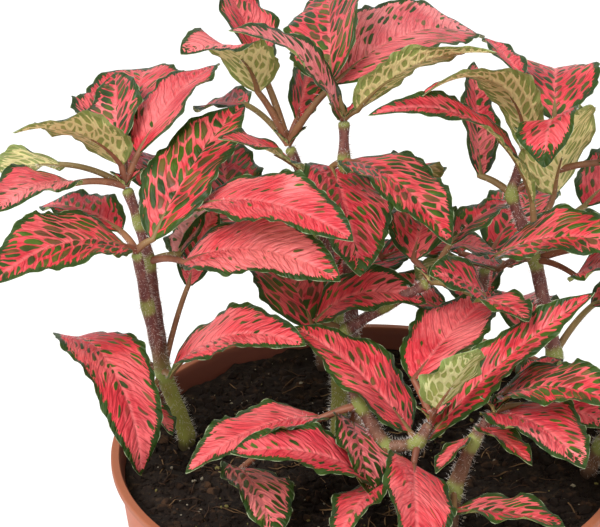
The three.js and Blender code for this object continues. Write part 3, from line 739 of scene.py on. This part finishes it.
def blade(leaf, phase):
    """A leaf blade: points, triangles, the material of each, and two vectors at each point: spot,
    millimetres along and across and margins to the edge, and tone, the leaf's green, pale and seed.
    Half the width is t to a power times 1 - t to a power, with small scallops. The surface is
    folded along the midrib, and its edges wave up and down, slowly and in a finer crinkle that is
    strongest at the edge. Side veins lie in shallow furrows that run forward from the midrib."""
    length, width = leaf.length, leaf.width
    rows = max(LEAST_ROWS, round(length / BLADE_ROW_SPACING)) + 1
    columns = 2 * max(LEAST_PAIRS, round(width / BLADE_COLUMN_SPACING / 2)) + 1
    t = np.linspace(0, 1, rows)
    spread = np.linspace(-1, 1, columns)
    v = ((1 - MIDRIB_CROWDING) * spread + MIDRIB_CROWDING * spread**3)[None]
    _, across, out = turned_frame(leaf, t)
    centre = midrib(leaf, t)
    a, b = BLADE_POWERS
    peak = a / (a + b)
    shape = t**a * (1 - t) ** b / (peak**a * (1 - peak) ** b)
    half = np.maximum(width / 2 * shape, FOOT_HALF_WIDTH * (1 - t) + TIP_HALF_WIDTH)[:, None]
    s = (length * t)[:, None]
    right = v > 0
    scallop = np.sin(2 * np.pi * (s / SCALLOP_LENGTH + 3 * phase + SCALLOP_PHASE * right))
    depth = np.minimum(1, half / FULL_SCALLOP_WIDTH)
    half = half * (1 + SCALLOP * scallop * np.abs(v) ** 3 * depth)
    swell = np.sin(np.pi * t)[:, None]
    size = min(1, width / FULL_WAVE_WIDTH)
    slow = np.sin(2 * np.pi * (WAVES * t[:, None] + phase + SIDE_PHASE * right))
    crinkle = s / CRINKLE_LENGTH + 5 * phase + CRINKLE_PHASE * right
    fine = np.sin(2 * np.pi * crinkle + CRINKLE_LAG * slow)
    w = np.abs(v) * half
    furrow = s - w * QUILT_LEAN + QUILT_PHASE * QUILT_LENGTH * right
    vein = np.sin(2 * np.pi * furrow / QUILT_LENGTH)
    rib = np.exp(-((w / MIDRIB_HALF_WIDTH) ** 2))
    lift = w * math.sin(FOLD) + WAVE_HEIGHT * size * slow * swell * v**2
    lift = lift + CRINKLE_HEIGHT * size * fine * swell * np.abs(v) ** 5
    lift = lift + QUILT_HEIGHT * size * vein * swell * np.abs(v) * (1 - v**4)
    middle = centre[:, None] + across[:, None] * (half * v * math.cos(FOLD))[..., None]
    thin = BLADE_THICKNESS / 2 * (1 - np.abs(v) ** 12)
    upper = middle + out[:, None] * (lift + thin - MIDRIB_GROOVE * rib * swell)[..., None]
    lower = middle + out[:, None] * (lift - thin - MIDRIB_RIDGE * rib * (1 - t[:, None]))[..., None]
    lower[:, [0, -1]] = upper[:, [0, -1]]
    lower[-1] = upper[-1]
    edge = w.max(axis=1, keepdims=True)
    near_edge = np.minimum(edge - w, TIP_MARGIN * length * (1 - t)[:, None])
    margin = MARGIN * np.clip(edge / FULL_MARGIN_WIDTH, LEAST_MARGIN, 1)
    tone = np.broadcast_to([leaf.green, leaf.pale, LEAF_SEEDS * phase], upper.shape)
    spot = vectors(s + 0 * w, half * v, near_edge / margin)
    spot[..., :2] *= MILLIMETRES
    points = np.concatenate([upper, lower]).reshape(-1, 3)
    faces = grid_triangles(rows, columns)
    foot = foot_cap(columns, rows * columns)
    triangles = np.concatenate([faces[:, ::-1], faces + rows * columns, foot])
    slots = np.repeat([UPPER, UNDER, UNDER], [len(faces), len(faces), len(foot)])
    spots, tones = (np.concatenate([both, both]).reshape(-1, 3) for both in (spot, tone))
    return points, triangles, slots, spots, tones


def foot_cap(columns, offset):
    """Triangles that close the narrow end at a blade's foot, between its upper and lower rows."""
    i = np.arange(columns - 1)
    return np.concatenate([
        vectors(i, i + 1, i + offset),
        vectors(i + 1, i + 1 + offset, i + offset),
    ])


def petiole_node(branches, leaf):
    """The node that a leaf stalk grows from: the one with the least distance to the blade's foot,
    less a share of its part along the midrib. Each branch's lowest is left out."""
    nodes = np.concatenate([np.array(branch[1:]) for branch in branches])
    along, _, _ = turned_frame(leaf, np.zeros(1))
    span = np.array(leaf[:3]) - nodes
    detour = np.linalg.norm(span, axis=1) - PETIOLE_FORWARD * span @ along[0]
    return nodes[detour.argmin()]


def petiole(leaf, node, phase):
    """A leaf stalk: a low arch from its node to the blade's foot, a quadratic Bezier, that then
    runs on under the midrib and thins out. Its spot is the share of it that lies behind."""
    foot = np.array(leaf[:3])
    span = np.linalg.norm(foot - node)
    crest = (node + foot) / 2 + [0, 0, PETIOLE_ARCH * span]
    u = np.linspace(0, 1, PETIOLE_RINGS)[:, None]
    stalk = (1 - u) ** 2 * node + 2 * u * (1 - u) * crest + u**2 * foot
    t = np.linspace(0, PETIOLE_REACH, PETIOLE_RINGS)[1:]
    _, _, out = turned_frame(leaf, t)
    sunk = np.linspace(0, PETIOLE_RADIUS * PETIOLE_SUNK, len(t))[:, None]
    path = np.concatenate([stalk, midrib(leaf, t) - out * sunk])
    size = min(1, leaf.length / FULL_PETIOLE_LEAF)
    thick = PETIOLE_RADIUS * (PETIOLE_LEAST + PETIOLE_GAIN * size)
    free = np.linspace(thick, PETIOLE_TAPER[0] * thick, PETIOLE_RINGS)
    radii = np.concatenate([free, np.linspace(*PETIOLE_TAPER, len(t)) * thick])
    points, triangles = tubes(path[None], radii[None], PETIOLE_SIDES)
    spot = np.zeros_like(points)
    spot[:, 0] = np.repeat(np.arange(len(path) + 2), PETIOLE_SIDES) / (len(path) + 1)
    tone = np.broadcast_to([leaf.green, leaf.pale, LEAF_SEEDS * phase], points.shape)
    return points, triangles, np.full(len(triangles), STALK), spot, tone


def stem(nodes, is_first, olive):
    """A branch: a curve past its nodes, taken down to the root for the first. It tapers with
    height, and swells at each node like a bell curve. Its spot is how near a fresh node is, the
    height over the soil in millimetres, and olive."""
    nodes = np.array(nodes)
    if is_first:
        nodes = np.concatenate([nodes[:1] - [0, 0, ROOT_DEPTH], nodes])
    gaps = np.linalg.norm(np.diff(nodes, axis=0), axis=1)
    marks = np.concatenate([[0], np.cumsum(gaps)])
    s = np.arange(0, marks[-1], RING_SPACING)
    corners = vectors(*(np.interp(s, marks, nodes[:, k]) for k in range(3)))
    window = np.hanning(2 * BEND_RINGS + 1)
    window = window / window.sum()
    padded = np.pad(corners, ((BEND_RINGS, BEND_RINGS), (0, 0)), mode="edge")
    path = vectors(*(np.convolve(padded[:, k], window, mode="valid") for k in range(3)))
    joints = marks[2:] if is_first else marks[1:]
    gap = np.abs(s[:, None] - joints)
    bells = np.exp(-((gap / NODE_HALF_LENGTH) ** 2))
    is_fresh = np.diff(joints, prepend=-1) > FRESH_SPACING
    fresh = (bells * np.where(is_fresh, 1, OLD_NODE)).max(axis=1)
    top = nodes[-1, 2]
    taper = np.interp(path[:, 2], [STEM_FOOT, top], [STEM_ROOT_RADIUS, STEM_TIP_RADIUS])
    radii = taper + NODE_SWELL * bells.max(axis=1) + RIPPLE_HEIGHT * np.sin(s / RIPPLE_LENGTH)
    radii[-len(STEM_END):] *= STEM_END
    points, triangles = tubes(path[None], radii[None], STEM_SIDES)
    ring = np.clip(np.repeat(np.arange(len(s) + 2), STEM_SIDES) - 1, 0, len(s) - 1)
    height = (points[:, 2] - STEM_FOOT) * MILLIMETRES
    spot = vectors(fresh[ring], height, np.full(len(points), olive))
    return points, triangles, np.full(len(triangles), BARK), spot, np.zeros_like(points)


def hairs(points, sides, per_metre, run, longest):
    """Fine hairs: thin spikes of three sides that stand out from a tube, leaning a little at
    random. points are the tube's surface, ring by ring, and run is its length."""
    centres = np.repeat(points.reshape(-1, sides, 3).mean(axis=1), sides, axis=0)
    above = np.flatnonzero(points[:, 2] > STEM_FOOT - HAIRLESS_DEPTH)
    count = int(per_metre * run)
    pick = rng.choice(above, count)
    root = points[pick]
    outward = root - centres[pick]
    outward /= np.maximum(np.linalg.norm(outward, axis=1, keepdims=True), 1e-6)
    lean = unit(outward + rng.normal(0, HAIR_LEAN, outward.shape))
    side = unit(np.cross(lean, SKEW))
    other = np.cross(lean, side)
    root = root + rng.normal(0, HAIR_SCATTER, root.shape)
    reach = rng.uniform(LEAST_HAIR_LENGTH, longest, (count, 1))
    turn = np.radians([0, 120, 240])[None, :, None]
    spokes = side[:, None] * np.cos(turn) + other[:, None] * np.sin(turn)
    base = root[:, None] + HAIR_RADIUS * spokes
    tip = (root + lean * reach)[:, None]
    spikes = np.concatenate([base, tip], axis=1).reshape(-1, 3)
    one = np.array([[0, 1, 3], [1, 2, 3], [2, 0, 3], [0, 2, 1]])
    triangles = copies_of(one, count, 4)
    nothing = np.zeros_like(spikes)
    return spikes, triangles, np.full(len(triangles), DOWN), nothing, nothing


def vector_parts(tree, name):
    """The three parts of a vector stored on the mesh."""
    stored = put(tree, "Attribute", attribute_name=name).outputs["Vector"]
    return put(tree, "SeparateXYZ", {0: stored}).outputs


def mosaic(tree, where, randomness, feature):
    """The outputs of a flat Voronoi texture with cells one unit wide."""
    inputs = {"Vector": where, "Scale": 1.0, "Randomness": randomness}
    return put(tree, "TexVoronoi", inputs, voronoi_dimensions="2D", feature=feature).outputs


def leaf_net(name):
    """A node group that draws the leaf's net. Side veins are the lines where the distance along
    the midrib, less a growing share of the distance from it, stays the same. Cells are rounded
    ovals between them, each round the middle of a Voronoi cell stretched along those lines."""
    group = bpy.data.node_groups.new(name, "ShaderNodeTree")
    inputs = {"Cell length": 3.0, "Least vein": 0.05, "Most vein": 0.3, "Least green": 0.0}
    for socket, value in inputs.items():
        made = group.interface.new_socket(socket, in_out="INPUT", socket_type="NodeSocketFloat")
        made.default_value = value
    for socket in ("Cells", "Margin", "Rim", "Streaks", "Side veins", "Midrib", "Height"):
        group.interface.new_socket(socket, in_out="OUTPUT", socket_type="NodeSocketFloat")
    inside = group.nodes.new("NodeGroupInput")
    result = group.nodes.new("NodeGroupOutput")
    along, across, edge = vector_parts(group, "spot")
    green, _, seed = vector_parts(group, "tone")
    green = calc(group, "MAXIMUM", green, inside.outputs["Least green"])
    flat = put(group, "CombineXYZ", {0: along, 1: across, 2: seed}).outputs[0]
    drift = put(group, "TexNoise", {"Vector": flat, "Scale": 0.22, "Detail": 2.0}).outputs["Color"]
    drift = put(group, "SeparateXYZ", {0: drift}).outputs
    away = calc(group, "ABSOLUTE", across)
    side = calc(group, "SIGN", across)
    slope = linear(group, away, 0.05, 0.85)
    line = calc(group, "SUBTRACT", along, times(group, away, slope))
    line = linear(group, drift[0], 2.4, line)
    reach = linear(group, drift[1], 1.6, away)
    cell_length = inside.outputs["Cell length"]
    pitch = times(group, cell_length, linear(group, green, 0.12, 0.82))
    row = linear(group, seed, 13.1, calc(group, "DIVIDE", line, pitch))
    shift = linear(group, side, 17.0, times(group, seed, 5.7))
    column = calc(group, "DIVIDE", reach, times(group, pitch, 1.15))
    column = calc(group, "ADD", shift, column)
    cell_place = put(group, "CombineXYZ", {0: row, 1: column}).outputs[0]
    gap = mosaic(group, cell_place, 0.85, "DISTANCE_TO_EDGE")[0]
    middle = mosaic(group, cell_place, 0.85, "F1")
    chance, other_chance, _ = put(group, "SeparateXYZ", {0: middle["Color"]}).outputs
    least, most = inside.outputs["Least vein"], inside.outputs["Most vein"]
    vein = ramp(group, green, 0.0, 1.0, most, least)
    vein = linear(group, ramp(group, away, 0.2, 2.4, 1.0, 0.0), 0.1, vein)
    vein = linear(group, calc(group, "SUBTRACT", chance, 0.5), 0.14, vein)
    room = calc(group, "SUBTRACT", gap, vein)
    oval = calc(group, "SUBTRACT", ramp(group, green, 0.0, 1.0, 0.28, 0.58), middle["Distance"])
    over = calc(group, "SMOOTH_MIN", room, oval, 0.05)
    enough = linear(group, green, 1.7, 0.12)
    shown = ramp(group, enough, chance, calc(group, "ADD", chance, 0.1))
    strength = times(group, shown, ramp(group, other_chance, 0.0, 0.6, 0.78, 1.0))
    cells = times(group, ramp(group, over, 0.0, 0.08), strength)
    finer = {0: cell_place, "Scale": 2.6}
    fine_place = put(group, "VectorMath", finer, operation="SCALE").outputs[0]
    teeth = mosaic(group, fine_place, 0.7, "DISTANCE_TO_EDGE")[0]
    border = linear(group, teeth, 1.1, linear(group, gap, 0.9, 0.62))
    margin = ramp(group, calc(group, "SUBTRACT", border, edge), -0.06, 0.08)
    fine_line, long_reach = times(group, line, 2.3), times(group, reach, 0.5)
    streak_place = put(group, "CombineXYZ", {0: fine_line, 1: long_reach, 2: seed}).outputs[0]
    streak_look = {"Vector": streak_place, "Scale": 1.0, "Detail": 4.0, "Distortion": 0.5}
    streaks = put(group, "TexNoise", streak_look).outputs[0]
    beat = calc(group, "PINGPONG", calc(group, "DIVIDE", line, cell_length), 0.5)
    furrow = ramp(group, beat, 0.02, 0.11, 1.0, 0.0)
    puffed = linear(group, furrow, -0.5, ramp(group, gap, 0.0, 0.32))
    outcome = {
        "Cells": cells,
        "Margin": margin,
        "Rim": ramp(group, edge, 0.05, 0.13, 1.0, 0.0),
        "Streaks": streaks,
        "Side veins": furrow,
        "Midrib": ramp(group, away, 0.15, 0.8, 1.0, 0.0),
        "Height": linear(group, streaks, 0.35, puffed),
    }
    for key, value in outcome.items():
        group.links.new(value, result.inputs[key])
    return group


net = leaf_net("Leaf net")

CORAL = (0.72, 0.034, 0.052, 1)
CRIMSON = (0.48, 0.013, 0.036, 1)
DEEP_RED = (0.27, 0.007, 0.013, 1)
PALE_PINK = (0.92, 0.24, 0.235, 1)
GREYED_SHEEN_PINK = (0.60, 0.30, 0.29, 1)
DARK_GREEN = (0.016, 0.040, 0.005, 1)
MID_GREEN = (0.062, 0.115, 0.009, 1)
RIM_HIGHLIGHT_GREEN = (0.38, 0.42, 0.25, 1)
leaf_upper, tree, shader = material("Leaf upper side", 0.42, 0.25)
net_look = {"Cell length": 3.0, "Least vein": 0.05, "Most vein": 0.2}
drawn = put(tree, "Group", net_look, node_tree=net).outputs
_, pale, seed = vector_parts(tree, "tone")
patches = noise(tree, 160.0, 2.0)
red = mixed(tree, ramp(tree, patches, 0.3, 0.7), DEEP_RED, CORAL)
red = mixed(tree, ramp(tree, pale, -0.4, 0.3, 0.0, 0.6), red, CORAL)
aged = calc(tree, "FRACT", times(tree, seed, 0.37))
red = mixed(tree, ramp(tree, aged, 0.5, 1.0, 0.0, 0.6), red, CRIMSON)
red = mixed(tree, ramp(tree, drawn["Streaks"], 0.30, 0.55, 0.4, 0.0), red, DEEP_RED)
# Painted sheen: fine streaks and soft patches, stronger on paler leaves, are mixed towards pale
# pink, standing in for the whitish sheen of light on the blade.
painted_sheen = times(tree, drawn["Streaks"], 0.7)
painted_sheen = linear(tree, ramp(tree, noise(tree, 75.0, 1.0), 0.35, 0.7), 0.3, painted_sheen)
light = times(tree, ramp(tree, painted_sheen, 0.25, 0.75), ramp(tree, pale, -0.2, 0.6, 0.3, 0.9))
red = mixed(tree, light, red, PALE_PINK)
# Partly painted shade: the side veins are darkened red, partly their own colour and partly standing
# in for the shade in the furrows between the puffed cells.
red = mixed(tree, times(tree, drawn["Side veins"], 0.5), red, DEEP_RED)
# Partly painted sheen: the palest leaves are greyed, partly their own paler tone and partly the
# whitish sheen of light on them.
red = mixed(tree, ramp(tree, pale, 0.45, 1.0, 0.0, 0.6), red, GREYED_SHEEN_PINK)
red = mixed(tree, times(tree, drawn["Midrib"], 0.35), red, PALE_PINK)
green = mixed(tree, ramp(tree, patches, 0.35, 0.7), DARK_GREEN, MID_GREEN)
face = mixed(tree, drawn["Cells"], red, green)
face = mixed(tree, drawn["Margin"], face, mixed(tree, 0.35, DARK_GREEN, green))
# Painted highlight: a thin pale line along the very edge, standing in for light caught by the
# leaf's rim.
face = mixed(tree, times(tree, drawn["Rim"], 0.8), face, RIM_HIGHLIGHT_GREEN)
paint(tree, shader, face, drawn["Height"], 0.55, 0.0004)
tree.links.new(ramp(tree, drawn["Streaks"], 0.3, 0.7, 0.5, 0.36), shader.inputs["Roughness"])

OLIVE = (0.35, 0.37, 0.095, 1)
OLIVE_DARK = (0.18, 0.24, 0.055, 1)
STRAW = (0.70, 0.61, 0.27, 1)
YOUNG_STRAW = (0.58, 0.57, 0.26, 1)
leaf_under, tree, shader = material("Leaf underside", 0.6, 0.25)
net_look = {"Cell length": 2.5, "Least vein": 0.1, "Most vein": 0.13, "Least green": 0.8}
drawn = put(tree, "Group", net_look, node_tree=net).outputs
_, pale, _ = vector_parts(tree, "tone")
patches = noise(tree, 160.0, 2.0)
green = mixed(tree, patches, OLIVE_DARK, OLIVE)
straw = mixed(tree, ramp(tree, pale, 0.2, 0.9), STRAW, YOUNG_STRAW)
face = mixed(tree, drawn["Cells"], straw, green)
face = mixed(tree, times(tree, drawn["Margin"], 0.8), face, OLIVE_DARK)
# Painted highlight: a thin pale line along the very edge of the underside, standing in for light
# caught by the rim.
face = mixed(tree, times(tree, drawn["Rim"], 0.7), face, RIM_HIGHLIGHT_GREEN)
paint(tree, shader, face, drawn["Height"], 0.5, -0.0004)

PETIOLE_RED = (0.17, 0.048, 0.027, 1)
PETIOLE_RUSSET = (0.30, 0.105, 0.055, 1)
PETIOLE_OLIVE = (0.20, 0.165, 0.05, 1)
stalk, tree, shader = material("Leaf stalk", 0.5, 0.35)
run, _, _ = vector_parts(tree, "spot")
_, _, seed = vector_parts(tree, "tone")
patches = noise(tree, 240.0, 3.0)
mottled = mixed(tree, ramp(tree, patches, 0.3, 0.7), PETIOLE_RED, PETIOLE_RUSSET)
olive = calc(tree, "FRACT", times(tree, seed, 0.731))
olive = linear(tree, run, 0.5, linear(tree, patches, 0.6, olive))
mottled = mixed(tree, ramp(tree, olive, 0.6, 1.6, 0.05, 0.85), mottled, PETIOLE_OLIVE)
paint(tree, shader, mottled)

MAROON = (0.125, 0.04, 0.035, 1)
MAROON_LIGHT = (0.22, 0.09, 0.07, 1)
NODE_GREEN = (0.25, 0.29, 0.07, 1)
STEM_OLIVE = (0.25, 0.27, 0.045, 1)
STEM_OCHRE = (0.29, 0.245, 0.07, 1)
FOOT_SHADE_COLOUR = (0.035, 0.02, 0.012, 1)
bark, tree, shader = material("Stem skin", 0.55, 0.3)
near, height, olive = vector_parts(tree, "spot")
place = put(tree, "TexCoord").outputs["Object"]
stretch = put(tree, "Mapping", {"Vector": place, "Scale": (1.0, 1.0, 0.22)}).outputs[0]
fibres_seen = noise(tree, 900.0, 3.0, stretch)
skin = mixed(tree, ramp(tree, fibres_seen, 0.35, 0.7), MAROON, MAROON_LIGHT)
low = times(tree, olive, ramp(tree, height, 12.0, 27.0, 1.0, 0.0))
skin = mixed(tree, low, skin, mixed(tree, fibres_seen, STEM_OLIVE, STEM_OCHRE))
fresh = linear(tree, fibres_seen, 0.5, calc(tree, "SUBTRACT", near, 0.25))
skin = mixed(tree, ramp(tree, fresh, 0.15, 0.8, 0.0, 0.85), skin, NODE_GREEN)
# Painted shade: where the stem meets the peat it is darkened to near black, standing in for the
# shadow at its foot.
foot_shade_height = linear(tree, fibres_seen, -4.0, height)
skin = mixed(tree, ramp(tree, foot_shade_height, -5.0, -1.0, 0.9, 0.0), skin, FOOT_SHADE_COLOUR)
paint(tree, shader, skin, fibres_seen, 0.35, 0.0002)

HAIR_WHITE = (0.74, 0.68, 0.62, 1)
down, _, _ = material("White hair", 0.5, 0.4, HAIR_WHITE)

leaf_count = 0
for name in BRANCHES:
    branches = [(np.array(branch) / MILLIMETRES).tolist() for branch in BRANCHES[name]]
    leaves = [Leaf(*(value / unit for value, unit in zip(row, LEAF_UNITS))) for row in LEAVES[name]]
    parts = []
    for branch_number, branch in enumerate(branches):
        wood = stem(branch, branch_number == 0, OLIVE_BASES.get(name, PLAIN_BASE))
        run = sum(math.dist(p, q) for p, q in zip(branch[1:], branch[:-1]))
        parts += [wood, hairs(wood[0], STEM_SIDES, HAIRS_PER_METRE, run, HAIR_LENGTH)]
    for length, width, heading, rise in SHOOT_LEAVES:
        form = (heading, rise, SHOOT_DROOP, length, width, 0, SHOOT_GREEN, SHOOT_PALE)
        parts.append(blade(Leaf(*branches[-1][-1], *form), (PHASE_STEP * len(parts)) % 1))
    for number, leaf in enumerate(leaves):
        phase = (PHASE_STEP * (leaf_count + number)) % 1
        node = petiole_node(branches, leaf)
        held = petiole(leaf, node, phase)
        run = math.dist(node, leaf[:3])
        fluff = hairs(held[0], PETIOLE_SIDES, PETIOLE_HAIRS_PER_METRE, run, PETIOLE_HAIR_LENGTH)
        parts += [blade(leaf, phase), held, fluff]
    leaf_count += len(leaves)
    starts = np.cumsum([0] + [len(part[0]) for part in parts[:-1]])
    points, triangles, slots, spot, tone = (np.concatenate(each) for each in zip(*parts))
    triangles = triangles + np.repeat(starts, [len(part[1]) for part in parts])[:, None]
    values = {"spot": spot, "tone": tone}
    skins = [leaf_upper, leaf_under, stalk, bark, down]
    foliage = solid("leafy_" + name, points, triangles, skins, slots, math.radians(60), values)
    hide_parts(name)
    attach(foliage, "root")


# Floor, light and camera
# A plain near-white floor, an even pale sky, one large soft lamp from the upper left in front and a
# weaker one from the right.
FLOOR_REACH = 6
FLOOR_WHITE = (0.93, 0.93, 0.93, 1)
SKY_STRENGTH = 0.78
LAMP_AIM = (0, 0, 0.13)
KEY_PLACE = (-0.9, -1.1, 1.7)
KEY_SIZE = 0.9
KEY_WATTS = 42
FILL_PLACE = (1.4, -0.9, 1.1)
FILL_SIZE = 1.2
FILL_WATTS = 8
floor_mesh = bpy.data.meshes.new("floor")
floor_signs = ((-1, -1), (1, -1), (1, 1), (-1, 1))
floor_corners = [(FLOOR_REACH * x, FLOOR_REACH * y, 0) for x, y in floor_signs]
floor_mesh.from_pydata(floor_corners, [], [(0, 1, 2, 3)])
floor = added("floor", floor_mesh)
floor_paint, _, _ = material("Floor", 0.9, 0.1, FLOOR_WHITE)
floor_mesh.materials.append(floor_paint)

scene.view_settings.view_transform = "Standard"
sky = bpy.data.worlds.new("Sky")
sky.use_nodes = True
background = sky.node_tree.nodes["Background"]
background.inputs["Color"].default_value = (1, 1, 1, 1)
background.inputs["Strength"].default_value = SKY_STRENGTH
scene.world = sky


def soft_lamp(name, place, size, watts):
    """A square area lamp at a place, turned towards the plant's middle."""
    light = bpy.data.lights.new(name, "AREA")
    light.shape = "SQUARE"
    light.size = size
    light.energy = watts
    lamp = added(name, light)
    lamp.location = place
    x, y, z = np.array(place) - LAMP_AIM
    lamp.rotation_euler = (math.atan2(math.hypot(x, y), z), 0, math.atan2(x, -y))


soft_lamp("key", KEY_PLACE, KEY_SIZE, KEY_WATTS)
soft_lamp("fill", FILL_PLACE, FILL_SIZE, FILL_WATTS)

CAMERA_LENS = 180
CAMERA_DISTANCE = 0.700
CAMERA_ELEVATION = math.radians(31.0)
CAMERA_PITCH = math.radians(27.5)
CAMERA_YAW = math.radians(1.5)
CAMERA_ROLL = math.radians(-0.4)
forward = np.array([
    -math.sin(CAMERA_YAW) * math.cos(CAMERA_PITCH),
    math.cos(CAMERA_YAW) * math.cos(CAMERA_PITCH),
    -math.sin(CAMERA_PITCH),
])
level = np.array([math.cos(CAMERA_YAW), math.sin(CAMERA_YAW), 0])
right = level * math.cos(CAMERA_ROLL) + np.cross(level, forward) * math.sin(CAMERA_ROLL)
eye = bpy.data.cameras.new("camera")
eye.lens = CAMERA_LENS
eye.sensor_width = 36
eye.sensor_fit = "HORIZONTAL"
eye.clip_start = 0.05
camera = added("camera", eye)
turned = np.identity(4)
turned[:3, 0], turned[:3, 1], turned[:3, 2] = right, np.cross(right, forward), -forward
turned[:3, 3] = (
    0,
    -CAMERA_DISTANCE * math.cos(CAMERA_ELEVATION),
    POT_HEIGHT + CAMERA_DISTANCE * math.sin(CAMERA_ELEVATION),
)
camera.matrix_world = Matrix(turned)
scene.camera = camera
